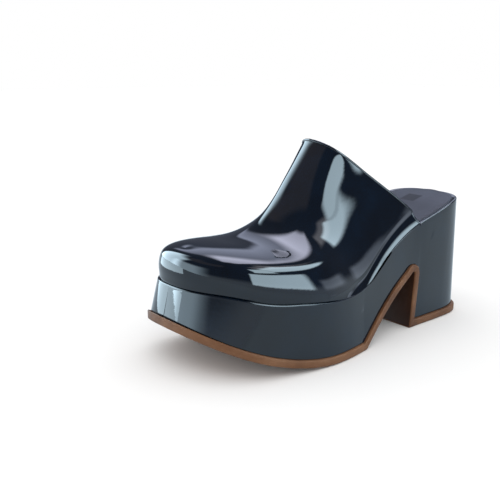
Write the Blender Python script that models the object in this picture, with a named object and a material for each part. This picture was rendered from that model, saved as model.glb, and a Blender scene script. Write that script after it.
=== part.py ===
"""Platform mule, left shoe. Metres, +Z up, toe towards -Y, outer side of the foot towards +X.

Everything follows from the plan outline, the rim's height along the shoe and the sections of the upper.
"""

import math

import bmesh
import bpy
import numpy as np
from mathutils import Vector

# Driving sizes, in metres
LENGTH = 0.2445            # toe tip to heel back
BALL_WIDTH = 0.103         # across the ball
HEEL_HEIGHT = 0.0864       # floor to the rim at the heel back
PLATFORM_HEIGHT = 0.0385   # floor to the rim under the ball
TOE_SPRING = 0.0272        # lift of the sole's front edge
UPPER_RISE = 0.0925        # rim under the ball to the top of the throat
SOLE_THICKNESS = 0.0050
SOLE_FLANGE = 0.0019       # how far the sole stands out past the covered platform
UPPER_WALL = 0.0018
UPPER_INSET = 0.0010       # the upper's foot stands this far inside the rim's edge
FOOT_BAND = 0.0010         # upright edge at the foot of the upper
INSOLE_THICKNESS = 0.0028
INSOLE_ROUND = 0.0008
HEEL_LIP = 0.0020          # width of the covered lip behind the upper
RIM_ROUND = 0.0012
GAP = 0.0003               # between pieces that touch

# Places along the shoe
SPRING_START = 0.095       # where the sole leaves the floor
FOREFOOT_END = 0.121       # rear corner of the forefoot sole
HEEL_START = 0.1752        # front corner of the heel at the floor
ARCH_HEIGHT = 0.0403
TOE_CAP_LENGTH = 0.045     # round ends of the outline
TOE_CAP_POWER = 2.3
HEEL_CAP_LENGTH = 0.030
HEEL_CAP_POWER = 3.0
CREASE_END = 0.754         # share of the outline where the collar meets the crease
FOOT_END = 0.762           # share of the outline where the collar meets the rim

# Plan outline: at is a share of LENGTH, half width and middle line are shares of BALL_WIDTH
OUTLINE = (
    {"at": 0.00, "half": 0.455, "middle": -0.058},
    {"at": 0.05, "half": 0.462, "middle": -0.034},
    {"at": 0.10, "half": 0.472, "middle": -0.016},
    {"at": 0.16, "half": 0.486, "middle": 0.004},
    {"at": 0.23, "half": 0.498, "middle": 0.021},
    {"at": 0.30, "half": 0.502, "middle": 0.034},
    {"at": 0.36, "half": 0.493, "middle": 0.042},
    {"at": 0.42, "half": 0.468, "middle": 0.048},
    {"at": 0.50, "half": 0.420, "middle": 0.051},
    {"at": 0.57, "half": 0.383, "middle": 0.046},
    {"at": 0.65, "half": 0.355, "middle": 0.034},
    {"at": 0.73, "half": 0.342, "middle": 0.020},
    {"at": 0.80, "half": 0.342, "middle": 0.010},
    {"at": 0.87, "half": 0.341, "middle": -0.002},
    {"at": 0.94, "half": 0.336, "middle": -0.012},
    {"at": 1.00, "half": 0.330, "middle": -0.012},
)

# Rim: rise is the share of the way from PLATFORM_HEIGHT to HEEL_HEIGHT, flare is how far the covered side leans
# in from the sole to the rim, as a share of PLATFORM_HEIGHT
RIM = (
    {"at": 0.000, "rise": 0.265, "flare": 0.110},
    {"at": 0.060, "rise": 0.235, "flare": 0.110},
    {"at": 0.106, "rise": 0.186, "flare": 0.105},
    {"at": 0.151, "rise": 0.130, "flare": 0.098},
    {"at": 0.200, "rise": 0.088, "flare": 0.090},
    {"at": 0.254, "rise": 0.062, "flare": 0.082},
    {"at": 0.300, "rise": 0.036, "flare": 0.075},
    {"at": 0.352, "rise": 0.010, "flare": 0.070},
    {"at": 0.409, "rise": 0.000, "flare": 0.065},
    {"at": 0.460, "rise": 0.014, "flare": 0.060},
    {"at": 0.520, "rise": 0.078, "flare": 0.050},
    {"at": 0.568, "rise": 0.225, "flare": 0.040},
    {"at": 0.618, "rise": 0.395, "flare": 0.030},
    {"at": 0.680, "rise": 0.560, "flare": 0.020},
    {"at": 0.755, "rise": 0.710, "flare": 0.012},
    {"at": 0.850, "rise": 0.838, "flare": 0.010},
    {"at": 0.940, "rise": 0.955, "flare": 0.010},
    {"at": 1.000, "rise": 1.000, "flare": 0.010},
)

# Side view of the hollow under the arch: at is a share of the way from FOREFOOT_END to HEEL_START, rise is a
# share of ARCH_HEIGHT
ARCH = (
    {"at": 0.000, "rise": 0.000},
    {"at": 0.120, "rise": 0.137},
    {"at": 0.243, "rise": 0.270},
    {"at": 0.363, "rise": 0.395},
    {"at": 0.490, "rise": 0.525},
    {"at": 0.620, "rise": 0.648},
    {"at": 0.755, "rise": 0.767},
    {"at": 0.880, "rise": 0.870},
    {"at": 0.965, "rise": 0.942},
    {"at": 1.005, "rise": 0.980},
    {"at": 1.037, "rise": 1.000},
    {"at": 1.060, "rise": 0.992},
    {"at": 1.070, "rise": 0.960},
    {"at": 1.066, "rise": 0.880},
    {"at": 1.035, "rise": 0.450},
    {"at": 1.000, "rise": 0.000},
)

# Crease above the rim: rise and inset are shares of PLATFORM_HEIGHT above and inside the rim's edge
CREASE = (
    {"at": 0.000, "rise": 0.150, "inset": 0.060},
    {"at": 0.106, "rise": 0.143, "inset": 0.060},
    {"at": 0.200, "rise": 0.110, "inset": 0.062},
    {"at": 0.300, "rise": 0.085, "inset": 0.065},
    {"at": 0.409, "rise": 0.080, "inset": 0.070},
    {"at": 0.503, "rise": 0.105, "inset": 0.075},
    {"at": 0.600, "rise": 0.085, "inset": 0.075},
    {"at": 0.660, "rise": 0.100, "inset": 0.085},
    {"at": 0.720, "rise": 0.180, "inset": 0.098},
    {"at": 0.760, "rise": 0.225, "inset": 0.104},
)

# Ridge of the vamp: middle is a share of BALL_WIDTH, rise a share of UPPER_RISE above PLATFORM_HEIGHT
RIDGE = (
    {"at": 0.078, "middle": -0.060, "rise": 0.360},
    {"at": 0.102, "middle": -0.064, "rise": 0.374},
    {"at": 0.164, "middle": -0.078, "rise": 0.378},
    {"at": 0.225, "middle": -0.090, "rise": 0.376},
    {"at": 0.266, "middle": -0.098, "rise": 0.400},
    {"at": 0.299, "middle": -0.102, "rise": 0.438},
    {"at": 0.335, "middle": -0.106, "rise": 0.508},
    {"at": 0.372, "middle": -0.108, "rise": 0.611},
    {"at": 0.409, "middle": -0.110, "rise": 0.730},
    {"at": 0.440, "middle": -0.110, "rise": 0.827},
    {"at": 0.470, "middle": -0.110, "rise": 0.920},
    {"at": 0.496, "middle": -0.110, "rise": 0.999},
)

# Sections of the upper: at is the share of the outline at the crease, top the share of LENGTH at the ridge,
# blend goes from the toe's profile to the collar's
SECTION = (
    {"at": 0.000, "top": 0.078, "blend": 0.00},
    {"at": 0.050, "top": 0.095, "blend": 0.00},
    {"at": 0.100, "top": 0.120, "blend": 0.00},
    {"at": 0.200, "top": 0.182, "blend": 0.04},
    {"at": 0.300, "top": 0.245, "blend": 0.14},
    {"at": 0.400, "top": 0.303, "blend": 0.32},
    {"at": 0.500, "top": 0.358, "blend": 0.54},
    {"at": 0.600, "top": 0.412, "blend": 0.76},
    {"at": 0.700, "top": 0.466, "blend": 0.94},
    {"at": 0.754, "top": 0.496, "blend": 1.00},
)

# Profiles from the crease to the ridge: out and up are shares of the section's width and height
PROFILE = (
    {"toe_out": 1.000, "toe_up": 0.000, "outer_out": 1.000, "outer_up": 0.000, "inner_out": 1.000, "inner_up": 0.000},
    {"toe_out": 1.020, "toe_up": 0.130, "outer_out": 0.955, "outer_up": 0.115, "inner_out": 0.990, "inner_up": 0.130},
    {"toe_out": 1.005, "toe_up": 0.290, "outer_out": 0.900, "outer_up": 0.220, "inner_out": 0.980, "inner_up": 0.260},
    {"toe_out": 0.955, "toe_up": 0.465, "outer_out": 0.830, "outer_up": 0.335, "inner_out": 0.970, "inner_up": 0.390},
    {"toe_out": 0.870, "toe_up": 0.635, "outer_out": 0.755, "outer_up": 0.445, "inner_out": 0.955, "inner_up": 0.520},
    {"toe_out": 0.755, "toe_up": 0.775, "outer_out": 0.680, "outer_up": 0.560, "inner_out": 0.935, "inner_up": 0.650},
    {"toe_out": 0.620, "toe_up": 0.878, "outer_out": 0.605, "outer_up": 0.700, "inner_out": 0.900, "inner_up": 0.780},
    {"toe_out": 0.470, "toe_up": 0.943, "outer_out": 0.520, "outer_up": 0.820, "inner_out": 0.790, "inner_up": 0.885},
    {"toe_out": 0.310, "toe_up": 0.980, "outer_out": 0.385, "outer_up": 0.915, "inner_out": 0.600, "inner_up": 0.950},
    {"toe_out": 0.155, "toe_up": 0.996, "outer_out": 0.200, "outer_up": 0.975, "inner_out": 0.320, "inner_up": 0.988},
    {"toe_out": 0.000, "toe_up": 1.000, "outer_out": 0.000, "outer_up": 1.000, "inner_out": 0.000, "inner_up": 1.000},
)


def column(table, name):
    """Smooth curve through a table's column, as a function of its at column."""
    at = np.array([row["at"] for row in table])
    value = np.array([row[name] for row in table])
    step = np.diff(at)
    secant = np.diff(value) / step
    slope = np.empty_like(value)
    slope[1:-1] = (secant[:-1] * step[1:] + secant[1:] * step[:-1]) / (step[:-1] + step[1:])
    slope[0] = secant[0]
    slope[-1] = secant[-1]

    def evaluate(share):
        share = min(max(share, at[0]), at[-1])
        i = min(int(np.searchsorted(at, share, side="right")) - 1, len(step) - 1)
        t = (share - at[i]) / step[i]
        start = value[i] * (1 + 2 * t) + slope[i] * step[i] * t
        end = value[i + 1] * (3 - 2 * t) + slope[i + 1] * step[i] * (t - 1)
        return float(start * (1 - t) ** 2 + end * t * t)

    return evaluate


outline_half = column(OUTLINE, "half")
outline_middle = column(OUTLINE, "middle")
rim_rise = column(RIM, "rise")
rim_flare = column(RIM, "flare")
crease_rise = column(CREASE, "rise")
crease_inset = column(CREASE, "inset")
ridge_middle = column(RIDGE, "middle")
ridge_rise = column(RIDGE, "rise")
section_top = column(SECTION, "top")
section_blend = column(SECTION, "blend")


def cap(distance, length, power):
    """Width of a superellipse end, as a share, at a distance from its tip."""
    left = max(0.0, 1.0 - distance / length)
    return (1.0 - left**power) ** (1.0 / power)


def outline_point(share, side, inset):
    """Point of the plan outline moved in by inset. Side is 1 for the outer side and -1 for the inner one."""
    half = outline_half(share) * BALL_WIDTH - inset
    half *= cap(share * LENGTH, TOE_CAP_LENGTH, TOE_CAP_POWER)
    half *= cap((1 - share) * LENGTH, HEEL_CAP_LENGTH, HEEL_CAP_POWER)
    return outline_middle(share) * BALL_WIDTH + side * half, inset + (LENGTH - 2 * inset) * share


def toe_shares(count):
    """Shares of LENGTH round the toe, evenly spread along the curve."""
    turns = [math.cos(math.pi / 2 * i / count) ** (2 / TOE_CAP_POWER) for i in range(count)]
    return [TOE_CAP_LENGTH * (1 - turn) / LENGTH for turn in turns]


def outline_shares(toe_count, middle_count, heel_count):
    turns = [math.cos(math.pi / 2 * i / heel_count) ** (2 / HEEL_CAP_POWER) for i in range(heel_count)]
    heel = [1 - HEEL_CAP_LENGTH * (1 - turn) / LENGTH for turn in turns]
    middle = np.linspace(TOE_CAP_LENGTH / LENGTH, 1 - HEEL_CAP_LENGTH / LENGTH, middle_count)
    return [*toe_shares(toe_count), *[float(share) for share in middle], *heel[::-1]]


def spring(y):
    """Underside of the forefoot sole: flat under the ball, then curving up to the toe."""
    return TOE_SPRING * (max(0.0, SPRING_START - y) / SPRING_START) ** 2


def rim_height(share):
    return PLATFORM_HEIGHT + rim_rise(share) * (HEEL_HEIGHT - PLATFORM_HEIGHT)


def rim_inset(share):
    """How far the rim's edge lies inside the sole's outline."""
    return SOLE_FLANGE + rim_flare(share) * PLATFORM_HEIGHT


def lip_width(share):
    """Covered lip round the insole: it carries the upper in front and narrows behind the collar."""
    t = min(max((share - FOOT_END - 0.01) / 0.04, 0.0), 1.0)
    front = UPPER_INSET + UPPER_WALL + GAP
    return front + (HEEL_LIP - front) * t * t * (3 - 2 * t)


def underside():
    """Side view of the whole shoe's underside, from the toe to the heel, as points (y, z)."""
    toe = [(float(y), spring(float(y))) for y in np.linspace(-0.006, SPRING_START, 17)]
    span = HEEL_START - FOREFOOT_END
    arch = [(FOREFOOT_END + row["at"] * span, row["rise"] * ARCH_HEIGHT) for row in ARCH]
    return [*toe, *arch, (LENGTH + 0.006, 0.0)]


def lifted(line, distance):
    """Line moved to its upper side by distance, with mitred corners."""
    points = [np.array(point) for point in line]
    moved = []
    for i, point in enumerate(points):
        before = point - points[i - 1] if i else points[1] - point
        after = points[i + 1] - point if i + 1 < len(points) else before
        first = np.array([-before[1], before[0]]) / np.hypot(*before)
        second = np.array([-after[1], after[0]]) / np.hypot(*after)
        joint = first + second
        moved.append(tuple(point + joint * distance * 2 / (joint @ joint)))
    return moved


def material(name, colour, roughness):
    made = bpy.data.materials.new(name)
    made.use_nodes = True
    shader = made.node_tree.nodes["Principled BSDF"]
    shader.inputs["Base Color"].default_value = (*colour, 1.0)
    shader.inputs["Roughness"].default_value = roughness
    return made


def add_object(name, work, group, finish):
    """Object from a bmesh, with its faces turned outwards."""
    bmesh.ops.remove_doubles(work, verts=work.verts, dist=1e-6)
    bmesh.ops.recalc_face_normals(work, faces=work.faces)
    mesh = bpy.data.meshes.new(name)
    work.to_mesh(mesh)
    work.free()
    if finish:
        mesh.materials.append(finish)
    made = bpy.data.objects.new(name, mesh)
    group.objects.link(made)
    return made


def loft(name, levels, shares, group, finish):
    """Closed body through rings of the plan outline. Each level gives an inset and a height for a share."""
    work = bmesh.new()
    rings = []
    for inset, height in levels:
        trip = [(share, 1) for share in shares] + [(share, -1) for share in shares[-2:0:-1]]
        ring = []
        for share, side in trip:
            x, y = outline_point(share, side, inset(share))
            ring.append(work.verts.new((x, y, height(share))))
        rings.append(ring)
    around = len(rings[0])
    for low, high in zip(rings[:-1], rings[1:]):
        for i in range(around):
            k = (i + 1) % around
            work.faces.new((low[i], low[k], high[k], high[i]))
    for ring in (rings[0], rings[-1]):
        work.faces.new((ring[0], ring[1], ring[-1]))
        last = len(shares) - 1
        work.faces.new((ring[last - 1], ring[last], ring[last + 1]))
        for i in range(1, last - 1):
            work.faces.new((ring[i], ring[i + 1], ring[-i - 1], ring[-i]))
    return add_object(name, work, group, finish)


def prism(name, line, axis, start, end, group, finish):
    """Flat outline pushed along an axis. The line holds (y, z) for axis x and (x, y) for axis z."""
    work = bmesh.new()
    ends = []
    for place in (start, end):
        if axis == "x":
            ends.append([work.verts.new((place, a, b)) for a, b in line])
        else:
            ends.append([work.verts.new((a, b, place)) for a, b in line])
    for i in range(len(line)):
        k = (i + 1) % len(line)
        work.faces.new((ends[0][i], ends[0][k], ends[1][k], ends[1][i]))
    work.faces.new(ends[0])
    work.faces.new(ends[1])
    return add_object(name, work, group, finish)


def cut(target, cutter, operation):
    """Boolean with a cutter that stays in the cutters' collection."""
    change = target.modifiers.new(operation.lower(), "BOOLEAN")
    change.operation = operation
    change.solver = "EXACT"
    change.object = cutter


def build_outsole(group, cutters, finish):
    """Sheet of even thickness under the forefoot, up the arch, down the heel's front face and under the heel."""
    shares = outline_shares(10, 18, 7)
    trip = [(share, 1) for share in shares] + [(share, -1) for share in shares[-2:0:-1]]
    outline = [outline_point(share, side, 0.0) for share, side in trip]
    top = ARCH_HEIGHT + TOE_SPRING + SOLE_THICKNESS
    outsole = prism("outsole", outline, "z", -SOLE_THICKNESS, top, group, finish)
    low = underside()
    band = [*low, *lifted(low, SOLE_THICKNESS)[::-1]]
    cutter = prism("sole_band", band, "x", -BALL_WIDTH, BALL_WIDTH, cutters, None)
    cut(outsole, cutter, "INTERSECT")
    return outsole


def build_platform(group, cutters, finish):
    """Covered block from the sole to the rim, with a recess for the insole in its top."""
    levels = (
        (lambda share: SOLE_FLANGE, lambda share: -SOLE_THICKNESS),
        (lambda share: SOLE_FLANGE, lambda share: spring(share * LENGTH) + SOLE_THICKNESS * 0.9),
        (rim_inset, lambda share: rim_height(share) - RIM_ROUND),
        (lambda share: rim_inset(share) + RIM_ROUND * 0.3, lambda share: rim_height(share) - RIM_ROUND * 0.3),
        (lambda share: rim_inset(share) + RIM_ROUND, rim_height),
        (lambda share: rim_inset(share) + lip_width(share), rim_height),
        (
            lambda share: rim_inset(share) + lip_width(share),
            lambda share: rim_height(share) - INSOLE_THICKNESS - GAP,
        ),
    )
    platform = loft("platform", levels, outline_shares(10, 26, 7), group, finish)
    roof = lifted(underside(), SOLE_THICKNESS + GAP)
    below = [(roof[-1][0], -2 * SOLE_THICKNESS), (roof[0][0], -2 * SOLE_THICKNESS)]
    cutter = prism("sole_space", [*roof, *below], "x", -BALL_WIDTH, BALL_WIDTH, cutters, None)
    cut(platform, cutter, "DIFFERENCE")
    return platform


def build_insole(group, finish):
    """Padded sock that fills the recess and lies level with the lip."""

    def edge(share):
        return rim_inset(share) + lip_width(share) + GAP

    levels = (
        (edge, lambda share: rim_height(share) - INSOLE_THICKNESS),
        (edge, lambda share: rim_height(share) - INSOLE_ROUND),
        (lambda share: edge(share) + INSOLE_ROUND * 0.3, lambda share: rim_height(share) - INSOLE_ROUND * 0.3),
        (lambda share: edge(share) + INSOLE_ROUND, rim_height),
    )
    return loft("insole", levels, outline_shares(10, 26, 7), group, finish)


def section_points(share, side):
    """One side of a section of the upper, from its foot on the rim to the ridge."""
    edge = rim_inset(share) + UPPER_INSET
    foot_share = share * FOOT_END / CREASE_END
    foot_x, foot_y = outline_point(foot_share, side, edge)
    foot_z = rim_height(foot_share) + GAP
    inset = rim_inset(share) + crease_inset(share) * PLATFORM_HEIGHT
    crease_x, crease_y = outline_point(share, side, inset)
    crease_z = rim_height(share) + crease_rise(share) * PLATFORM_HEIGHT + GAP
    top = section_top(share)
    top_y = top * LENGTH
    top_x = ridge_middle(top) * BALL_WIDTH
    if share == 0.0:
        top_x = crease_x
    top_z = PLATFORM_HEIGHT + ridge_rise(top) * UPPER_RISE
    points = [(foot_x, foot_y, foot_z), (foot_x, foot_y, foot_z + FOOT_BAND)]
    blend = section_blend(share)
    name = "outer" if side > 0 else "inner"
    for row in PROFILE:
        out = row["toe_out"] * (1 - blend) + row[name + "_out"] * blend
        up = row["toe_up"] * (1 - blend) + row[name + "_up"] * blend
        along = (1 - out) * (1 - blend) + up * blend
        points.append(
            (
                top_x + (crease_x - top_x) * out,
                crease_y + (top_y - crease_y) * along,
                crease_z + (top_z - crease_z) * up,
            )
        )
    return points


def place_key(point):
    return tuple(round(value, 6) for value in point)


def build_upper(group, finish):
    """Hollow shell of even wall, open at the collar and underneath."""
    last = TOE_CAP_LENGTH / LENGTH
    shares = [*toe_shares(9), *[float(share) for share in np.linspace(last, CREASE_END, 19)]]
    work = bmesh.new()
    grid = []
    for share in shares:
        outer = [work.verts.new(point) for point in section_points(share, 1)]
        inner = [work.verts.new(point) for point in section_points(share, -1)]
        grid.append(outer + inner[-2::-1])
    for a, b in zip(grid[:-1], grid[1:]):
        for j in range(len(a) - 1):
            work.faces.new((a[j], a[j + 1], b[j + 1], b[j]))
    bmesh.ops.remove_doubles(work, verts=work.verts, dist=1e-6)
    bmesh.ops.recalc_face_normals(work, faces=work.faces)
    work.normal_update()
    middle = sum((vert.co for vert in work.verts), Vector()) / len(work.verts)
    probe = max(work.verts, key=lambda vert: vert.co.z)
    outward = 1.0 if probe.normal.dot(probe.co - middle) > 0 else -1.0

    # The inner foot follows the lip, and the collar's edge stays within the collar's plane
    low, high = [Vector(section_points(CREASE_END, 1)[i]) for i in (2, -1)]
    across = Vector((0.0, low.z - high.z, high.y - low.y)).normalized()
    feet = {}
    for share in shares:
        for side in (1, -1):
            point = section_points(share, side)[0]
            inset = rim_inset(share) + UPPER_INSET + UPPER_WALL
            x, y = outline_point(share * FOOT_END / CREASE_END, side, inset)
            feet[place_key(point)] = Vector((x, y, point[2]))
    collar = {place_key(point) for side in (1, -1) for point in section_points(CREASE_END, side)}
    twins = {}
    for vert in list(work.verts):
        direction = vert.normal * outward
        if place_key(vert.co) in collar:
            direction = direction - across * direction.dot(across)
        twin = vert.co - direction.normalized() * UPPER_WALL
        twins[vert] = work.verts.new(feet.get(place_key(vert.co), twin))
    faces = list(work.faces)
    rim = [edge for edge in work.edges if edge.is_boundary]
    for face in faces:
        work.faces.new([twins[vert] for vert in reversed(face.verts)])
    for edge in rim:
        a, b = edge.verts
        work.faces.new((a, b, twins[b], twins[a]))
    return add_object("upper", work, group, finish)


def build():
    for old in list(bpy.data.objects):
        bpy.data.objects.remove(old)
    group = bpy.data.collections.new("platform_mule")
    cutters = bpy.data.collections.new("cutters")
    for made in (group, cutters):
        bpy.context.scene.collection.children.link(made)
    patent = (0.006, 0.008, 0.016)
    parts = [
        build_outsole(group, cutters, material("sole_rubber", (0.29, 0.16, 0.08), 0.55)),
        build_platform(group, cutters, material("platform_patent", patent, 0.06)),
        build_insole(group, material("insole_leather", (0.13, 0.135, 0.17), 0.35)),
        build_upper(group, material("upper_patent", patent, 0.05)),
    ]
    edges = [outline_point(share, side, 0.0)[0] for share in outline_shares(10, 60, 7) for side in (1, -1)]
    shift = Vector(((max(edges) + min(edges)) / -2, LENGTH / -2, 0.0))
    for made in [*parts, *cutters.objects]:
        for vert in made.data.vertices:
            vert.co += shift
    for cutter in cutters.objects:
        cutter.display_type = "WIRE"
        cutter.hide_render = True
    for made in parts:
        made.data.shade_smooth()
        made.data.set_sharp_from_angle(angle=math.radians(32))
    print("platform mule built:", ", ".join(made.name for made in parts))


build()
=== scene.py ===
import math

import bmesh
import bpy
import numpy as np
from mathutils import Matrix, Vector


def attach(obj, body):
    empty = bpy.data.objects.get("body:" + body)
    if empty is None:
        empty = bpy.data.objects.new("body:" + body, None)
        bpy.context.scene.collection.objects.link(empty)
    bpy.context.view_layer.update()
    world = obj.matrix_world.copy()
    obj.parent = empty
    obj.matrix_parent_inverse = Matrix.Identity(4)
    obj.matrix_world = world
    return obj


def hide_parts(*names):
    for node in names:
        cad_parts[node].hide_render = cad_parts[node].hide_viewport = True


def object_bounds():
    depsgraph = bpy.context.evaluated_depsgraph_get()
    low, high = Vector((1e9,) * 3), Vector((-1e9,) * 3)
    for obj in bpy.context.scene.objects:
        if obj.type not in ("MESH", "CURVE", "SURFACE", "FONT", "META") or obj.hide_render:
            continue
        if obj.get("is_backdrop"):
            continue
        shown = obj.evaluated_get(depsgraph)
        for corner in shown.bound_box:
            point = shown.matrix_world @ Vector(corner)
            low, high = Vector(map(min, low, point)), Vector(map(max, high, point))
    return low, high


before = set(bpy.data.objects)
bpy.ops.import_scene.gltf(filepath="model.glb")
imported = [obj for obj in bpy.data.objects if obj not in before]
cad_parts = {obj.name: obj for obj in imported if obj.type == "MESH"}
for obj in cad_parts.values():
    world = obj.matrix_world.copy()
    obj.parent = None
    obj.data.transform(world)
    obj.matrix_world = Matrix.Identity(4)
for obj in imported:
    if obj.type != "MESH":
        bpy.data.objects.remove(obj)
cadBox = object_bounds()
rootBody = "root"

# Sizes in metres. The toe's tip is at y = 0 and the heel at y = length, until rowShift moves all of it
shoe = {
    "length": 0.2445,
    "ball": 0.103,  # width that the outline's shares are taken of
    "heel": 0.0864,  # height of the rim at the heel
    "platform": 0.0385,  # height of the rim where it is lowest
    "spring": 0.0272,  # height of the toe's tip off the floor
    "springStart": 0.095,  # how far behind the tip the sole leaves the floor
    "rise": 0.0925,  # height of the throat over the platform
    "sole": 0.005,  # thickness
    "flange": 0.0019,  # how far the sole stands out past the block
    "arch": (0.121, 0.1752, 0.0403),  # the hollow's start and end along the shoe, and its height
    "toeCap": (0.045, 2.3),  # length of the rounded end, and the power of its superellipse
    "heelCap": (0.030, 3.0),
    "creaseEnd": 0.754,  # share of the length where crease and collar meet
    "footEnd": 0.762,  # share of the length where the upper's foot ends on the rim
}

# Given tables. At is the share of the length, and the other columns are shares of the sizes above.
# Outline: half width and middle line, by the ball's width
outline = {
    "at": [0, 0.05, 0.1, 0.16, 0.23, 0.3, 0.36, 0.42, 0.5, 0.57, 0.65, 0.73, 0.8, 0.87, 0.94, 1],
    "half": [
        *(0.455, 0.462, 0.472, 0.486, 0.498, 0.502, 0.493, 0.468),
        *(0.42, 0.383, 0.355, 0.342, 0.342, 0.341, 0.336, 0.33),
    ],
    "middle": [
        *(-0.058, -0.034, -0.016, 0.004, 0.021, 0.034, 0.042, 0.048),
        *(0.051, 0.046, 0.034, 0.02, 0.01, -0.002, -0.012, -0.012),
    ],
}
# Rim: rise from platform to heel, and how far the block narrows up to it, by the platform's height
rim = {
    "at": [
        *(0, 0.06, 0.106, 0.151, 0.2, 0.254, 0.3, 0.352, 0.409),
        *(0.46, 0.52, 0.568, 0.618, 0.68, 0.755, 0.85, 0.94, 1),
    ],
    "rise": [
        *(0.265, 0.235, 0.186, 0.13, 0.088, 0.062, 0.036, 0.01, 0),
        *(0.014, 0.078, 0.225, 0.395, 0.56, 0.71, 0.838, 0.955, 1),
    ],
    "flare": [
        *(0.11, 0.11, 0.105, 0.098, 0.09, 0.082, 0.075, 0.07, 0.065),
        *(0.06, 0.05, 0.04, 0.03, 0.02, 0.012, 0.01, 0.01, 0.01),
    ],
}


# Smooth curve through a column: cubic pieces, each slope the neighbours' mean weighted by the other's length
def curve(table, name):
    at = np.array(table["at"], float)
    value = np.array(table[name], float)
    step = np.diff(at)
    secant = np.diff(value) / step
    slope = np.empty_like(value)
    slope[1:-1] = (secant[:-1] * step[1:] + secant[1:] * step[:-1]) / (step[:-1] + step[1:])
    slope[0], slope[-1] = secant[0], secant[-1]

    def read(share):
        share = np.clip(share, at[0], at[-1])
        i = np.clip(np.searchsorted(at, share, side="right") - 1, 0, len(step) - 1)
        t = (share - at[i]) / step[i]
        start = value[i] * (1 + 2 * t) + slope[i] * step[i] * t
        end = value[i + 1] * (3 - 2 * t) + slope[i + 1] * step[i] * (t - 1)
        return start * (1 - t) ** 2 + end * t * t

    return read


outlineHalf, outlineMiddle = curve(outline, "half"), curve(outline, "middle")
rimRise, rimFlare = curve(rim, "rise"), curve(rim, "flare")


# Step with level ends: 3 t^2 - 2 t^3, with t held between 0 and 1
def eased(t):
    t = np.clip(t, 0, 1)
    return t * t * (3 - 2 * t)


def between(first, second, share):
    return first + (second - first) * share


# Superellipse: width = (1 - (1 - distance / length)^power)^(1 / power)
def endWidth(distance, length, power):
    left = np.clip(1 - distance / length, 0, 1)
    return (1 - left**power) ** (1 / power)


# Plan outline moved in by inset: x = middle + side * half width, y = inset + share of the length left over.
# Side is 1 on the shoe's outer side and -1 on its inner side
def outlinePoint(share, side, inset):
    length = shoe["length"]
    half = outlineHalf(share) * shoe["ball"] - inset
    half = half * endWidth(share * length, *shoe["toeCap"]) * endWidth((1 - share) * length, *shoe["heelCap"])
    return outlineMiddle(share) * shoe["ball"] + side * half, inset + (length - 2 * inset) * share


def rimHeight(share):
    return between(shoe["platform"], shoe["heel"], rimRise(share))


def rimInset(share):
    return shoe["flange"] + rimFlare(share) * shoe["platform"]


# Stations in a rounded end, closer together at its tip: cap length * (1 - cos(turn)^(2 / power)) / length
def capShares(cap, count):
    length, power = cap
    turn = np.cos(np.pi / 2 * np.arange(count) / count) ** (2 / power)
    return length * (1 - turn) / shoe["length"]


def fullShares(toe, middle, heel):
    low, high = shoe["toeCap"][0] / shoe["length"], 1 - shoe["heelCap"][0] / shoe["length"]
    ahead, behind = capShares(shoe["toeCap"], toe), 1 - capShares(shoe["heelCap"], heel)[::-1]
    return np.concatenate([ahead, np.linspace(low, high, middle), behind])


# Underside in front of the flat: spring * (share of the way from where it leaves the floor to the tip)^2
def spring(y):
    return shoe["spring"] * (np.maximum(0, shoe["springStart"] - y) / shoe["springStart"]) ** 2


solidStations = (10, 60, 7)  # as in the solids, so that both boxes have one middle
edgeX = np.concatenate([outlinePoint(fullShares(*solidStations), side, 0.0)[0] for side in (1, -1)])
rowShift = np.array([-(edgeX.max() + edgeX.min()) / 2, -shoe["length"] / 2, 0.0])


def linkPiece(name, mesh):
    piece = bpy.data.objects.new(name, mesh)
    bpy.context.scene.collection.objects.link(piece)
    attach(piece, rootBody)
    print("made", name, len(mesh.vertices))
    return piece


# Mesh object in the row's frame from points and quads, welded and facing outwards
def addPiece(name, points, quads, materials, faceMaterial=None, angle=40):
    weld, sliver = 2e-6, 1e-6
    mesh = bpy.data.meshes.new(name)
    mesh.from_pydata((points.reshape(-1, 3) + rowShift).tolist(), [], quads.tolist())
    for finish in materials:
        mesh.materials.append(finish)
    if faceMaterial is not None:
        mesh.polygons.foreach_set("material_index", faceMaterial.astype(np.int32))
    work = bmesh.new()
    work.from_mesh(mesh)
    bmesh.ops.remove_doubles(work, verts=work.verts, dist=weld)
    bmesh.ops.dissolve_degenerate(work, edges=work.edges, dist=sliver)
    bmesh.ops.recalc_face_normals(work, faces=work.faces)
    work.to_mesh(mesh)
    work.free()
    mesh.shade_smooth()
    mesh.set_sharp_from_angle(angle=math.radians(angle))
    return linkPiece(name, mesh)


# Quads of a grid of points, row by row, closed round its columns if asked
def gridQuads(rows, columns, closed):
    i = np.arange(rows - 1)[:, None] * columns
    j = np.arange(columns if closed else columns - 1)[None, :]
    k = (j + 1) % columns
    return np.stack([i + j, i + k, i + columns + k, i + columns + j], -1).reshape(-1, 4)


def setInput(node, **values):
    for key, value in values.items():
        node.inputs[key.replace("_", " ")].default_value = value


def newMaterial(name):
    made = bpy.data.materials.new(name)
    made.use_nodes = True
    return made, made.node_tree.nodes, made.node_tree.links, made.node_tree.nodes["Principled BSDF"]


def textureNode(nodes, links, kind, place, **values):
    made = nodes.new(kind)
    setInput(made, **values)
    links.new(place, made.inputs["Vector"])
    return made.outputs


def mathNode(nodes, links, operation, first, second=None):
    made = nodes.new("ShaderNodeMath")
    made.operation = operation
    for socket, value in zip(made.inputs, (first, second)):
        if isinstance(value, (int, float)):
            socket.default_value = value
        elif value is not None:
            links.new(value, socket)
    return made.outputs["Value"]


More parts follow.
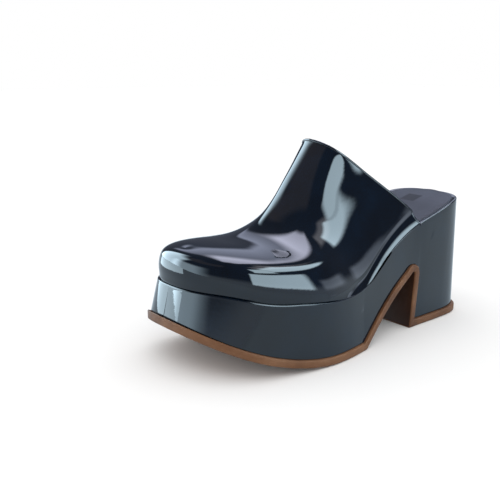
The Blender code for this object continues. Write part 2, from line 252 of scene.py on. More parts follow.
# Step from 0 to 1 between two values, or from 1 to 0 if they are given high to low
def stepNode(nodes, links, value, start, end, shape="LINEAR"):
    made = nodes.new("ShaderNodeMapRange")
    made.interpolation_type = shape
    setInput(made, From_Min=min(start, end), From_Max=max(start, end))
    setInput(made, To_Min=float(start > end), To_Max=float(start < end))
    links.new(value, made.inputs["Value"])
    return made.outputs["Result"]


def mixNode(nodes, links, share, first, second):
    made = nodes.new("ShaderNodeMix")
    made.data_type = "RGBA"
    links.new(share, made.inputs["Factor"])
    for label, colour in (("A", first), ("B", second)):
        if isinstance(colour, tuple):
            made.inputs[label].default_value = (*colour, 1)
        else:
            links.new(colour, made.inputs[label])
    return made.outputs["Result"]


def bumpNode(nodes, links, height, strength, distance, normal=None):
    made = nodes.new("ShaderNodeBump")
    setInput(made, Strength=strength, Distance=distance)
    links.new(height, made.inputs["Height"])
    if normal:
        links.new(normal, made.inputs["Normal"])
    return made.outputs["Normal"]


# Shader group with named sockets: comes back with its nodes and links, what goes in and what comes out
def newGroup(name, comesIn, goesOut):
    group = bpy.data.node_groups.new(name, "ShaderNodeTree")
    for direction, sockets in (("INPUT", comesIn), ("OUTPUT", goesOut)):
        for label, kind in sockets.items():
            group.interface.new_socket(label, in_out=direction, socket_type="NodeSocket" + kind)
    given, result = group.nodes.new("NodeGroupInput").outputs, group.nodes.new("NodeGroupOutput").inputs
    return group, group.nodes, group.links, given, result


def placeGroup(nodes, links, group, place, **values):
    made = nodes.new("ShaderNodeGroup")
    made.node_tree = group
    setInput(made, **values)
    links.new(place, made.inputs["Place"])
    return made.outputs


# Cloudy tone: dark turns into middle where noise goes from Low to Centre, and into light from there to High
def makeToneGroup():
    noiseLabels = ("Scale", "Detail", "Roughness", "Distortion")
    numbers = dict.fromkeys((*noiseLabels, "Low", "Centre", "High"), "Float")
    colours = dict.fromkeys(("Dark", "Middle", "Light"), "Color")
    group, nodes, links, given, result = newGroup(
        "cloudy_tone", {"Place": "Vector", **numbers, **colours}, {"Tone": "Color"}
    )
    noise = nodes.new("ShaderNodeTexNoise")
    links.new(given["Place"], noise.inputs["Vector"])
    for label in noiseLabels:
        links.new(given[label], noise.inputs[label])
    tone = given["Dark"]
    for low, high, colour in (("Low", "Centre", "Middle"), ("Centre", "High", "Light")):
        share = nodes.new("ShaderNodeMapRange")
        links.new(noise.outputs["Fac"], share.inputs["Value"])
        links.new(given[low], share.inputs["From Min"])
        links.new(given[high], share.inputs["From Max"])
        tone = mixNode(nodes, links, share.outputs["Result"], tone, given[colour])
    links.new(tone, result["Tone"])
    return group


# Heights of surfaces: the lacquer's slow waves, fine unevenness and pits, the sole's pebble, the sock's grain
heights = {
    "Waves": {"Scale": 26.0, "Detail": 2.0, "Roughness": 0.4},
    "Uneven": {"Scale": 420.0, "Detail": 3.0, "Roughness": 0.5},
    "Pebble": {"Scale": 900.0, "Detail": 4.0, "Roughness": 0.6},
    "Pits": {"Scale": 75.0, "Randomness": 1.0},
    "Grain": {"Scale": 900.0, "Randomness": 1.0},
    "pitEdge": 0.05,  # share of a cell over which a pit rises to the surface
}


def makeHeightGroup():
    labels = ("Waves", "Uneven", "Pits", "Pebble", "Grain")
    group, nodes, links, given, result = newGroup(
        "surface_heights", {"Place": "Vector"}, dict.fromkeys(labels, "Float")
    )
    for label in ("Waves", "Uneven", "Pebble"):
        noise = textureNode(nodes, links, "ShaderNodeTexNoise", given["Place"], **heights[label])
        links.new(noise["Fac"], result[label])
    cells = textureNode(nodes, links, "ShaderNodeTexVoronoi", given["Place"], **heights["Pits"])
    links.new(stepNode(nodes, links, cells["Distance"], 0.0, heights["pitEdge"]), result["Pits"])
    grain = textureNode(nodes, links, "ShaderNodeTexVoronoi", given["Place"], **heights["Grain"])
    links.new(grain["Distance"], result["Grain"])
    return group


toneGroup, heightGroup = makeToneGroup(), makeHeightGroup()

# Lacquered leather: near-black navy under a clear coat. Each bump is its strength and its depth in metres
lacquer = {
    "cloud": {"Scale": 34.0, "Detail": 4.0, "Roughness": 0.55, "Distortion": 0.3},
    "stops": {"Low": 0.32, "Centre": 0.52, "High": 0.72},
    "deep": 0.55,  # share of the base colour in the darkest clouds
    "bright": 1.7,  # share of it in the lightest
    "waves": (0.05, 0.0022),
    "uneven": (0.05, 0.00018),
    "pitDepth": 0.0002,
}


def patentMaterial(name, base, pits):
    made, nodes, links, shader = newMaterial(name)
    setInput(shader, Roughness=0.4, Specular_IOR_Level=0.0)
    setInput(shader, Coat_Weight=1.0, Coat_IOR=1.5, Coat_Roughness=0.03)
    place = nodes.new("ShaderNodeTexCoord").outputs["Object"]
    deep, bright = (tuple(value * lacquer[part] for value in base) for part in ("deep", "bright"))
    colours = {"Dark": (*deep, 1), "Middle": (*base, 1), "Light": (*bright, 1)}
    cloud = placeGroup(nodes, links, toneGroup, place, **lacquer["cloud"], **lacquer["stops"], **colours)
    links.new(cloud["Tone"], shader.inputs["Base Color"])
    height = placeGroup(nodes, links, heightGroup, place)
    normal = bumpNode(nodes, links, height["Waves"], *lacquer["waves"])
    normal = bumpNode(nodes, links, height["Uneven"], *lacquer["uneven"], normal)
    normal = bumpNode(nodes, links, height["Pits"], pits, lacquer["pitDepth"], normal)
    links.new(normal, shader.inputs["Normal"])
    links.new(normal, shader.inputs["Coat Normal"])
    return made


# Moulded tan sole with darker patches, rubbed paler spots and a fine pebble
rubber = {
    "cloud": {"Scale": 30.0, "Detail": 6.0, "Roughness": 0.62, "Distortion": 0.4},
    "stops": {"Low": 0.25, "Centre": 0.5, "High": 0.78},
    "pebble": (0.35, 0.0002),
}


def soleMaterial(name, dark, middle, light):
    made, nodes, links, shader = newMaterial(name)
    setInput(shader, Roughness=0.55, Specular_IOR_Level=0.25)
    place = nodes.new("ShaderNodeTexCoord").outputs["Object"]
    colours = {"Dark": (*dark, 1), "Middle": (*middle, 1), "Light": (*light, 1)}
    cloud = placeGroup(nodes, links, toneGroup, place, **rubber["cloud"], **rubber["stops"], **colours)
    links.new(cloud["Tone"], shader.inputs["Base Color"])
    height = placeGroup(nodes, links, heightGroup, place)
    links.new(bumpNode(nodes, links, height["Pebble"], *rubber["pebble"]), shader.inputs["Normal"])
    return made


# Smooth blue-grey sock leather with a fine grain and a soft cloudy tone
leather = {
    "cloud": {"Scale": 22.0, "Detail": 5.0, "Roughness": 0.55, "Distortion": 0.0},
    "stops": {"Low": 0.3, "Centre": 0.5, "High": 0.7},
    "grain": (0.25, 0.00012),
    "patchMiddle": (-0.003, 0.218),  # before rowShift
    "patchHalf": (0.0065, 0.0055),
    "patchFade": 0.0003,
    "patchTone": 0.5,  # share of the dark colour
}


# Plain darker rectangle at the heel: 1 where |place - middle| is below the half sizes, fading to 0 past them
def addPatch(nodes, links, place, tone, dark):
    middle, fade = leather["patchMiddle"], leather["patchFade"]
    offset, size = nodes.new("ShaderNodeVectorMath"), nodes.new("ShaderNodeVectorMath")
    offset.operation, size.operation = "SUBTRACT", "ABSOLUTE"
    offset.inputs[1].default_value = (middle[0] + rowShift[0], middle[1] + rowShift[1], 0)
    links.new(place, offset.inputs[0])
    links.new(offset.outputs["Vector"], size.inputs[0])
    parts = nodes.new("ShaderNodeSeparateXYZ")
    links.new(size.outputs["Vector"], parts.inputs["Vector"])
    inside = []
    for axis, half in zip("XY", leather["patchHalf"]):
        inside.append(stepNode(nodes, links, parts.outputs[axis], half + fade, half - fade))
    mask = mathNode(nodes, links, "MULTIPLY", *inside)
    return mixNode(nodes, links, mask, tone, tuple(value * leather["patchTone"] for value in dark))


def sockMaterial(name, dark, light, patch=False):
    made, nodes, links, shader = newMaterial(name)
    setInput(shader, Roughness=0.5, Specular_IOR_Level=0.1)
    place = nodes.new("ShaderNodeTexCoord").outputs["Object"]
    middle = tuple((low + high) / 2 for low, high in zip(dark, light))
    colours = {"Dark": (*dark, 1), "Middle": (*middle, 1), "Light": (*light, 1)}
    cloud = placeGroup(nodes, links, toneGroup, place, **leather["cloud"], **leather["stops"], **colours)
    tone = addPatch(nodes, links, place, cloud["Tone"], dark) if patch else cloud["Tone"]
    links.new(tone, shader.inputs["Base Color"])
    height = placeGroup(nodes, links, heightGroup, place)
    links.new(bumpNode(nodes, links, height["Grain"], *leather["grain"]), shader.inputs["Normal"])
    return made


# Painted shadow: a near-black matt finish that stands for the shade inside the slit under the skirt's edge
def shadowStripMaterial():
    made, _, _, shader = newMaterial("gap_painted_shadow")
    setInput(shader, Base_Color=(0.0015, 0.0015, 0.0018, 1), Roughness=0.9, Specular_IOR_Level=0.0)
    return made


patentUpper = patentMaterial("patent_upper", (0.0005, 0.0030, 0.0078), 0.08)
patentBlock = patentMaterial("patent_platform", (0.0008, 0.0036, 0.0085), 0.05)
soleTan = soleMaterial("sole_tan", (0.065, 0.025, 0.010), (0.125, 0.054, 0.023), (0.20, 0.10, 0.050))
# painted shade: the tan sole's finish made much darker for the faces inside the hollow, where shade falls
soleArchShade = soleMaterial("sole_arch_painted_shade", (0.018, 0.005, 0.002), (0.034, 0.0115, 0.0045), (0.050, 0.020, 0.010))
insoleGrey = sockMaterial("insole_grey", (0.024, 0.026, 0.036), (0.052, 0.057, 0.076), patch=True)
lining = sockMaterial("lining_grey", (0.014, 0.015, 0.022), (0.022, 0.024, 0.034))
gapShadow = shadowStripMaterial()
print("made the materials")

# Upper: a skirt from the rim up to the crease, then the section's profile up to the ridge
upper = {
    "wall": 0.0018,
    "rows": (46, 120),  # stations in the toe cap and behind it
    "columns": (9, 64),  # points up the skirt and over the shell
    "foot": (0.0013, -0.0002),  # the forefoot's edge: inset from the rim and height over it
    "skirt": (-0.0003, -0.0008),  # the same behind, a little proud of the block and lapped over it
    "belly": 0.0006,  # the crease's inset from the rim round the forefoot
    "lift": 0.0003,  # the crease's height over its curve
    "bow": 1.7,  # power of the skirt's outward bow
    "turn": (0.34, 0.14),  # share where belly turns into skirt, and the length of the turn
    "side": (0.10, 0.5, 0.2),  # the outer side's own profile: full from here, gone there, fading over this
    "firm": 3,  # columns at the rim that smoothing leaves alone
    "mirrored": 6,  # rows that go on past the toe's tip while it is smoothed
    "rounds": 30,
    "sharp": 50,  # degrees
    # Crease: its height over the rim and its inset from it on both sides, by the platform's height
    "crease": {
        "at": [0, 0.106, 0.2, 0.3, 0.409, 0.503, 0.6, 0.66, 0.72, 0.76],
        "innerRise": [0.15, 0.143, 0.11, 0.085, 0.08, 0.105, 0.085, 0.1, 0.18, 0.225],
        "outerRise": [0.15, 0.09, 0.055, 0.05, 0.10, 0.17, 0.195, 0.2, 0.22, 0.24],
        "innerDeep": [0.06, 0.06, 0.062, 0.065, 0.07, 0.075, 0.075, 0.085, 0.098, 0.104],
        "outerDeep": [0.06, 0.06, 0.062, 0.065, 0.07, 0.09, 0.105, 0.112, 0.12, 0.125],
    },
    # Ridge: the instep's line from the toe to the throat, by the ball's width and the throat's rise
    "ridge": {
        "at": [0.078, 0.102, 0.15, 0.2, 0.24, 0.27, 0.305, 0.335, 0.372, 0.409, 0.44, 0.47, 0.496],
        "middle": [
            *(-0.06, -0.064, -0.076, -0.086, -0.093, -0.098, -0.103),
            *(-0.106, -0.108, -0.11, -0.11, -0.11, -0.11),
        ],
        "rise": [0.366, 0.376, 0.379, 0.374, 0.378, 0.397, 0.443, 0.504, 0.607, 0.73, 0.827, 0.92, 0.999],
    },
    # Section: where on the ridge a station of the crease leads to, and the share of the collar's profile in it
    "section": {
        "at": [0, 0.05, 0.1, 0.2, 0.3, 0.4, 0.5, 0.6, 0.7, 0.754],
        "top": [0.078, 0.095, 0.12, 0.182, 0.245, 0.303, 0.358, 0.412, 0.466, 0.496],
        "blend": [0, 0, 0, 0.04, 0.14, 0.32, 0.54, 0.76, 0.94, 1],
    },
    # Profile: how far out and how far up the shell is at each share of the way from crease to ridge
    "profile": {
        "at": [0, 0.1, 0.2, 0.3, 0.4, 0.5, 0.6, 0.7, 0.8, 0.9, 1],
        "toeOut": [1, 0.998, 0.985, 0.953, 0.895, 0.795, 0.65, 0.5, 0.33, 0.165, 0],
        "sideOut": [1, 0.991, 0.977, 0.953, 0.917, 0.805, 0.65, 0.49, 0.33, 0.165, 0],
        "toeUp": [0, 0.15, 0.32, 0.5, 0.675, 0.81, 0.9, 0.955, 0.985, 0.997, 1],
        "outerOut": [1, 0.955, 0.9, 0.83, 0.755, 0.68, 0.605, 0.52, 0.385, 0.2, 0],
        "outerUp": [0, 0.115, 0.22, 0.335, 0.445, 0.56, 0.7, 0.82, 0.915, 0.975, 1],
        "innerOut": [1, 0.99, 0.98, 0.97, 0.955, 0.935, 0.9, 0.79, 0.6, 0.32, 0],
        "innerUp": [0, 0.13, 0.26, 0.39, 0.52, 0.65, 0.78, 0.885, 0.95, 0.988, 1],
    },
}
creaseRise = {1: curve(upper["crease"], "outerRise"), -1: curve(upper["crease"], "innerRise")}
creaseDeep = {1: curve(upper["crease"], "outerDeep"), -1: curve(upper["crease"], "innerDeep")}
ridgeMiddle, ridgeRise = curve(upper["ridge"], "middle"), curve(upper["ridge"], "rise")
sectionTop, sectionBlend = curve(upper["section"], "top"), curve(upper["section"], "blend")


# One side of the upper as rows of points. Skirt = foot + (crease - foot) * bow. Shell = top + (crease - top)
# * out across the shoe, and crease + (top - crease) * up in height. Out and up blend from the toe's profile
# into the collar's
def sectionGrid(shares, side):
    share = shares[:, None]
    tuck = eased(1 - (share - upper["turn"][0]) / upper["turn"][1])  # 1 round the forefoot, 0 behind
    footInset, footLift = (upper["foot"][i] * tuck + upper["skirt"][i] * (1 - tuck) for i in (0, 1))
    footShare = share * shoe["footEnd"] / shoe["creaseEnd"]
    footX, footY = outlinePoint(footShare, side, rimInset(share) + footInset)
    footZ = rimHeight(footShare) + footLift
    deep = creaseDeep[side](share) * shoe["platform"]
    creaseX, creaseY = outlinePoint(share, side, rimInset(share) + between(deep, upper["belly"], tuck))
    creaseZ = rimHeight(share) + creaseRise[side](share) * shoe["platform"] + upper["lift"]
    s = np.linspace(0, 1, upper["columns"][0])[None, :-1]
    bow = between(1 - (1 - s) ** upper["bow"], s, tuck)
    skirt = [between(footX, creaseX, bow), between(footY, creaseY, bow), between(footZ, creaseZ, s)]
    top = sectionTop(share)
    topX = np.where(share == 0, creaseX, ridgeMiddle(top) * shoe["ball"])
    topZ = shoe["platform"] + ridgeRise(top) * shoe["rise"]
    full, gone, fade = upper["side"]
    flat = eased(np.clip(share / full, 0, 1) * np.clip((gone - share) / fade, 0, 1)) * (side > 0)
    w = np.linspace(0, 1, upper["columns"][1])[None, :]
    blend, name, profile = sectionBlend(share), "outer" if side > 0 else "inner", upper["profile"]
    ahead = between(curve(profile, "toeOut")(w), curve(profile, "sideOut")(w), flat)
    out = between(ahead, curve(profile, name + "Out")(w), blend)
    up = between(curve(profile, "toeUp")(w), curve(profile, name + "Up")(w), blend)
    along = between(1 - out, up, blend)
    shell = [
        between(topX, creaseX, out),
        between(creaseY, top * shoe["length"], along),
        between(creaseZ, topZ, up),
    ]
    return np.concatenate([np.stack(skirt, -1), np.stack(shell, -1)], 1)


# Grid smoothing: each free point moves half way to its four neighbours' mean
def relax(points, free, rounds):
    for _ in range(rounds):
        mean = points.copy()
        mean[1:-1, 1:-1] = (points[:-2, 1:-1] + points[2:, 1:-1] + points[1:-1, :-2] + points[1:-1, 2:]) / 4
        points = np.where(free[..., None], points + (mean - points) / 2, points)
    return points


def makeUpper():
    low, extra, fold = shoe["toeCap"][0] / shoe["length"], upper["mirrored"], upper["columns"][0]
    behind = np.linspace(low, shoe["creaseEnd"], upper["rows"][1])
    shares = np.concatenate([capShares(shoe["toeCap"], upper["rows"][0]), behind])
    points = np.concatenate([sectionGrid(shares, 1), sectionGrid(shares, -1)[:, -2::-1]], 1)
    rows, columns = points.shape[:2]
    # row 0 is one line over the toe's tip, so the rows before it are the next rows' other sides
    padded = np.concatenate([points[1 : extra + 1][::-1, ::-1], points], 0)
    free = np.zeros(padded.shape[:2], bool)
    free[1:-1, fold:-fold] = True
    free[1 : extra + int(np.searchsorted(shares, upper["turn"][0])), upper["firm"] : -upper["firm"]] = True
    points = relax(padded, free, upper["rounds"])[extra:]
    half = columns // 2
    points[0, half + 1 :] = points[0, half - 1 :: -1]
    quads = gridQuads(rows, columns, False)
    piece = addPiece("upper_skin", points, quads, [patentUpper, lining], angle=upper["sharp"])
    shell = piece.modifiers.new("wall", "SOLIDIFY")
    shell.thickness = upper["wall"]
    shell.offset = -1
    shell.material_offset = 1
    shell.material_offset_rim = 0
    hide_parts("upper")
    return points[-1]


collar = makeUpper()

# Topline: the collar's folded edge, a slim round bead of the same leather
bead = {
    "radius": 0.00105,
    "sides": 14,
    "inwards": 0.0006,
    "reach": 0.01,  # distance from the middle over which it moves inwards
    "drop": 0.0005,
    "up": (0.0, 0.55, 0.83),  # roughly square to the collar's plane, to set the rings by
}


# Round tube: ring = path + radius * (cos(turn) * side + sin(turn) * lift), square to the path
def tubePoints(path, radius, sides, up):
    ahead = np.gradient(path, axis=0)
    ahead /= np.linalg.norm(ahead, axis=1)[:, None]
    side = np.cross(ahead, np.array(up))
    side /= np.linalg.norm(side, axis=1)[:, None]
    lift = np.cross(side, ahead)
    turn = np.linspace(0, 2 * np.pi, sides, endpoint=False)[None, :, None]
    return path[:, None] + radius * (np.cos(turn) * side[:, None] + np.sin(turn) * lift[:, None])


def makeTopline():
    path, sides = collar.copy(), bead["sides"]
    middle = path[:, 0].mean()
    path[:, 0] += bead["inwards"] * np.clip((middle - path[:, 0]) / bead["reach"], -1, 1)
    path[:, 2] -= bead["drop"]
    ring = tubePoints(path, bead["radius"], sides, bead["up"]).reshape(-1, 3)
    points = np.concatenate([ring, path[:1], path[-1:]])
    count, j = len(ring), np.arange(sides)
    k = (j + 1) % sides
    firstEnd = np.stack([j, k, np.full(sides, count)], -1)
    lastEnd = np.stack([count - sides + k, count - sides + j, np.full(sides, count + 1)], -1)
    faces = gridQuads(len(path), sides, True).tolist() + firstEnd.tolist() + lastEnd.tolist()
    mesh = bpy.data.meshes.new("topline")
    mesh.from_pydata((points + rowShift).tolist(), [], faces)
    mesh.materials.append(patentUpper)
    mesh.shade_smooth()
    linkPiece("topline_bead", mesh)


makeTopline()

# Slit between skirt and block on the outer side over the arch, as a thin dark strip: a painted shadow for the
# shade inside the opening
slit = {
    "ends": (0.513, 0.624),  # shares of the length
    "half": 0.0007,  # half its height
    "thin": 0.00002,  # half its height at its tips
    "open": (1.5, 0.8),  # how fast it opens, and the power of the opening
    "close": 14,  # power of the closing end
    "proud": 0.00055,
    "lift": 0.0002,
    "lean": 0.45,
    "count": 48,
}


# Half height = half * min(1, 1.5 t)^0.8 * sqrt(1 - t^14) + thin, with t from 0 to 1 along the slit
def makeSlit():
    t = np.linspace(0, 1, slit["count"])[:, None]
    share = between(*slit["ends"], t)
    speed, power = slit["open"]
    width = np.minimum(1, speed * t) ** power * np.sqrt(np.clip(1 - t ** slit["close"], 0, 1))
    half = slit["half"] * width + slit["thin"]
    x, y = outlinePoint(share, 1, rimInset(share) - slit["proud"])
    across = np.array([[1.0, 0.0, -1.0]])
    z = rimHeight(share) + slit["lift"] + half * across
    inwards = half * np.array([[slit["lean"], 0.0, 0.0]])
    points = np.stack([x - inwards, np.repeat(y, 3, 1), z], -1)
    addPiece("seam_gap_painted_shadow", points, gridQuads(slit["count"], 3, False), [gapShadow])


makeSlit()

# Outsole: stations along the shoe, and a ring at each one by its share of the way up and its inset
archStart, archEnd, archHeight = shoe["arch"]
sole = {
    "stations": (44, 120, 26),  # in the toe cap, between the caps and in the heel cap
    "archCount": 170,
    "toeCount": 160,
    "past": 0.006,  # how far the side view runs on past both ends of the shoe
    "clear": (0.006, 0.010),  # length without stations before and behind the hollow
    "way": [0.0, 0.0, 0.03, 0.10, 0.18, 0.5, 0.84, 0.93, 0.985, 1.0, 1.0],
    "inset": [0.006, 0.0011, 0.0005, 0.00015, 0.0, 0.0, 0.0, 0.0002, 0.0006, 0.0012, 0.006],
    "darkFrom": 2,  # stations from each end of the hollow to its darker faces
    "sharp": 50,
    # Hollow under the shoe in side view, by its length and its height
    "hollow": {
        "at": [
            *(0, 0.12, 0.243, 0.363, 0.49, 0.62, 0.755, 0.88),
            *(0.965, 1.005, 1.037, 1.06, 1.07, 1.066, 1.035, 1),
        ],
        "rise": [
            *(0, 0.137, 0.27, 0.395, 0.525, 0.648, 0.767, 0.87),
            *(0.942, 0.98, 1, 0.992, 0.96, 0.88, 0.45, 0),
        ],
    },
}


# Side view of the hollow: a smooth curve through the table's points, by the share of the way along them
def archPath(count):
    at, rise = np.array(sole["hollow"]["at"]), np.array(sole["hollow"]["rise"])
    y, z = between(archStart, archEnd, at), rise * archHeight
    run = np.concatenate([[0], np.cumsum(np.hypot(np.diff(y), np.diff(z)))])
    smooth = {"at": run / run[-1], "y": y, "z": z}
    t = np.linspace(0, 1, count)
    return np.stack([curve(smooth, "y")(t), curve(smooth, "z")(t)], -1)


# Line moved to its upper side, with mitred corners: move = (n1 + n2) * 2 * distance / |n1 + n2|^2
def lifted(line, distance):
    before = np.diff(line, axis=0, prepend=2 * line[:1] - line[1:2])
    after = np.concatenate([before[1:], before[-1:]])
    first = np.stack([-before[:, 1], before[:, 0]], -1) / np.hypot(*before.T)[:, None]
    second = np.stack([-after[:, 1], after[:, 0]], -1) / np.hypot(*after.T)[:, None]
    joint = first + second
    return line + joint * distance * 2 / (joint**2).sum(1)[:, None]


# Pairs of points along the shoe in side view: its underside, and the line that lies a distance above it
def soleStations(distance):
    length, ahead = shoe["length"], sole["toeCount"] - 1
    y = fullShares(*sole["stations"]) * length
    front, back = y[y < archStart - sole["clear"][0]], y[y > archEnd + sole["clear"][1]]
    arch = archPath(sole["archCount"])
    toe = np.linspace(-sole["past"], archStart, sole["toeCount"])[:-1]
    line = np.concatenate([np.stack([toe, spring(toe)], -1), arch, [[length + sole["past"], 0.0]]])
    up = lifted(line, distance)
    upFront = np.interp(front, up[:ahead, 0], up[:ahead, 1])
    upArch, upBack = up[ahead : ahead + sole["archCount"]], np.stack([back, back * 0 + distance], -1)
    lower = np.concatenate([np.stack([front, spring(front)], -1), arch, np.stack([back, back * 0], -1)])
    return lower, np.concatenate([np.stack([front, upFront], -1), upArch, upBack])


def outlineAt(y, side):
    return outlinePoint(np.clip(y / shoe["length"], 0, 1), side, 0.0)[0]


def archFirst(lower):
    return int(np.argmax(lower[:, 0] >= archStart - 1e-9))


# Ring point = lower + (higher - lower) * way, and x = middle + side * (half width - inset)
def makeOutsole():
    lower, higher = soleStations(shoe["sole"])
    point = between(lower[:, None], higher[:, None], np.array(sole["way"])[None, :, None])
    y, z = point[..., 0], point[..., 1]
    middle = (outlineAt(y, 1) + outlineAt(y, -1)) / 2
    sides = []
    for side in (1, -1):
        half = np.maximum(np.abs(outlineAt(y, side) - middle) - np.array(sole["inset"])[None, :], 0)
        sides.append(np.stack([middle + side * half, y, z], -1))
    points = np.concatenate([sides[0], sides[1][:, ::-1]], 1)
    rows, columns = points.shape[:2]
    # the faces inside the hollow get painted shade: a darker red-brown for the shade that falls under the arch
    start, skip = archFirst(lower), sole["darkFrom"]
    inside = np.zeros((rows - 1, columns), int)
    inside[start + skip : start + sole["archCount"] - skip, [0, columns - 2, columns - 1]] = 1
    quads, finishes = gridQuads(rows, columns, True), [soleTan, soleArchShade]
    piece = addPiece("outsole_skin", points, quads, finishes, inside.ravel(), angle=sole["sharp"])
    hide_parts("outsole")


makeOutsole()

# Covered block: a station runs from the sole's upper line up the wall, over the shoulder and into the recess
block = {
    "gap": 0.00035,  # over the sole
    "tuckIn": (0.004, 0.0002),  # the bottom edge goes on inwards by this, and up by this
    "levels": 20,
    "round": 0.0007,  # radius of the shoulder
    "roundCount": 6,
    "lip": (0.0031, 0.0021),  # its width before the collar's end and at the heel
    "lipTurn": (0.01, 0.04),  # shares of the length: how far behind the foot's end it narrows, and over what
    "lipDrop": (0.0007, 0.0010),  # height lost over the lip, and at its rounded edge
    "lipEdge": 0.0004,
    "recess": 0.0030,
    "recessIn": 0.008,
    "lean": (0.765, 0.835),  # shares of the rim over the hollow's top and over the heel's front edge
    "sharp": 50,
}


def lipWidth(share):
    start, length = block["lipTurn"]
    return between(*block["lip"], eased((share - shoe["footEnd"] - start) / length))


# Rim's share over each station: as below it up to the hollow, in step with the way along the hollow to its
# top, evenly over the heel's front, and stretched over what is left behind it
def rimShares(lower, shareBottom):
    overTop, overHeel = block["lean"]
    start, apex = archFirst(lower), int(np.argmax(lower[:, 1]))
    heel = start + sole["archCount"] - 1
    way = lower[start : apex + 1, 0] - lower[start, 0]
    tail = shareBottom[heel:] - shareBottom[heel]
    shareTop = shareBottom.copy()
    shareTop[start : apex + 1] = between(shareBottom[start], overTop, way / way[-1])
    shareTop[apex : heel + 1] = np.linspace(overTop, overHeel, heel - apex + 1)
    shareTop[heel:] = between(overHeel, 1, tail / (1 - shareBottom[heel]))
    return shareTop


# Wall point = bottom + (rim - bottom) * level, and shoulder = rim inset + round * (1 - cos, 1 - sin)
def makePlatform():
    length, flange, radius = shoe["length"], shoe["flange"], block["round"]
    lower, bottom = soleStations(shoe["sole"] + block["gap"])
    shareBottom = np.clip((bottom[:, 0] - flange) / (length - 2 * flange), 0, 1)
    shareBottom[0], shareBottom[-1] = 0.0, 1.0
    top = rimShares(lower, shareBottom)[:, None]
    level = np.linspace(0, 1, block["levels"])[None, :]
    share = between(shareBottom[:, None], top, level)
    inset = between(flange, rimInset(share), level)
    wallZ = between(bottom[:, 1:2], rimHeight(top) - radius, level)
    turn = np.linspace(0, np.pi / 2, block["roundCount"])[None, 1:]
    lipIn = rimInset(top) + lipWidth(top)
    edgeIn, floorIn = lipIn + block["lipEdge"], lipIn + block["recessIn"]
    overIn = [rimInset(top) + radius * (1 - np.cos(turn)), lipIn, edgeIn, edgeIn, floorIn]
    drops = np.array([[*block["lipDrop"], block["recess"], block["recess"]]])
    overZ = [rimHeight(top) - radius * (1 - np.sin(turn)), rimHeight(top) - drops]
    tuckIn, tuckUp = block["tuckIn"]
    allInset = np.concatenate([inset[:, :1] + tuckIn, inset, *overIn], 1)
    allZ = np.concatenate([wallZ[:, :1] + tuckUp, wallZ, *overZ], 1)
    over = allInset.shape[1] - share.shape[1] - 1
    allShare = np.concatenate([share[:, :1], share, np.repeat(top, over, 1)], 1)
    sides = []
    for side in (1, -1):
        x, y = outlinePoint(allShare, side, allInset)
        sides.append(np.stack([x, y, allZ], -1))
    points = np.concatenate([sides[0], sides[1][:, ::-1]], 1)
    quads = gridQuads(*points.shape[:2], True)
    piece = addPiece("platform_skin", points, quads, [patentBlock], angle=block["sharp"])
    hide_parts("platform")


makePlatform()

# Sock: a soft pad inside the lip, a little crowned, with a rolled edge
sock = {
    "gap": 0.0002,
    "stations": (40, 140, 24),
    "edge": 0.0016,  # height of the rolled edge
    "roll": 0.09,  # its width, as a share of the way to the middle line
    "nearEdge": [0.0, 0.012, 0.03, 0.055, 0.09, 0.14],  # shares of the way to the middle line
    "onwards": (0.2, 1.0, 14),
    "crown": 0.0007,
    "crownShape": (1.6, 0.8),  # how fast it rises, and the power of the rise
    "thick": 0.0026,
    "sharp": 60,
}


# Top height = rim - edge * (1 - quarter circle) + crown * (1.6 a)^0.8. a is 0 at the edge and 1 in the middle
def makeInsole():
    shares = fullShares(*sock["stations"])[:, None]
    edge = rimInset(shares) + lipWidth(shares) + sock["gap"]
    a = np.concatenate([sock["nearEdge"], np.linspace(*sock["onwards"])])[None, :]
    roll = np.sqrt(np.clip(1 - (1 - np.clip(a / sock["roll"], 0, 1)) ** 2, 0, 1))
    speed, power = sock["crownShape"]
    crown = sock["crown"] * np.clip(a * speed, 0, 1) ** power
    z = rimHeight(shares) - sock["edge"] * (1 - roll) + crown
    halves = []
    for side in (1, -1):
        x, y = outlinePoint(shares, side, edge)
        middle = (x + outlinePoint(shares, -side, edge)[0]) / 2
        halves.append(np.stack([between(x, middle, a), np.repeat(y, a.shape[1], 1), z], -1))
    top = np.concatenate([halves[0], halves[1][:, -2::-1]], 1)
    under = top[:, ::-1].copy()
    under[..., 2] = rimHeight(shares) - sock["thick"]
    points = np.concatenate([top, under], 1)
    quads = gridQuads(*points.shape[:2], True)
    piece = addPiece("insole_skin", points, quads, [insoleGrey], angle=sock["sharp"])
    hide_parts("insole")


makeInsole()

# Floor: pale to the eye, and a cooler grey in the gloss
ground = {"half": 6, "low": -0.0002, "seen": (0.9, 0.9, 0.9), "mirrored": (0.64, 0.76, 0.86)}


def makeFloor():
    half, low = ground["half"], ground["low"]
    corners = [(-half, -half, low), (half, -half, low), (half, half, low), (-half, half, low)]
    mesh = bpy.data.meshes.new("floor")
    mesh.from_pydata(corners, [], [(0, 1, 2, 3)])
    made, nodes, links, shader = newMaterial("floor_pale")
    setInput(shader, Roughness=1.0, Specular_IOR_Level=0.0)
    inGloss = nodes.new("ShaderNodeLightPath").outputs["Is Glossy Ray"]
    links.new(mixNode(nodes, links, inGloss, ground["seen"], ground["mirrored"]), shader.inputs["Base Color"])
    mesh.materials.append(made)
    floor = bpy.data.objects.new("floor", mesh)
    bpy.context.scene.collection.objects.link(floor)
    floor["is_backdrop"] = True


makeFloor()
print("laid the floor")


# Object that stands at a place and looks at a target
def aimedObject(name, data, place, target):
    made = bpy.data.objects.new(name, data)
    bpy.context.scene.collection.objects.link(made)
    made.location = place
    made.rotation_mode = "QUATERNION"
    made.rotation_quaternion = (Vector(target) - Vector(place)).to_track_quat("-Z", "Y")
    return made


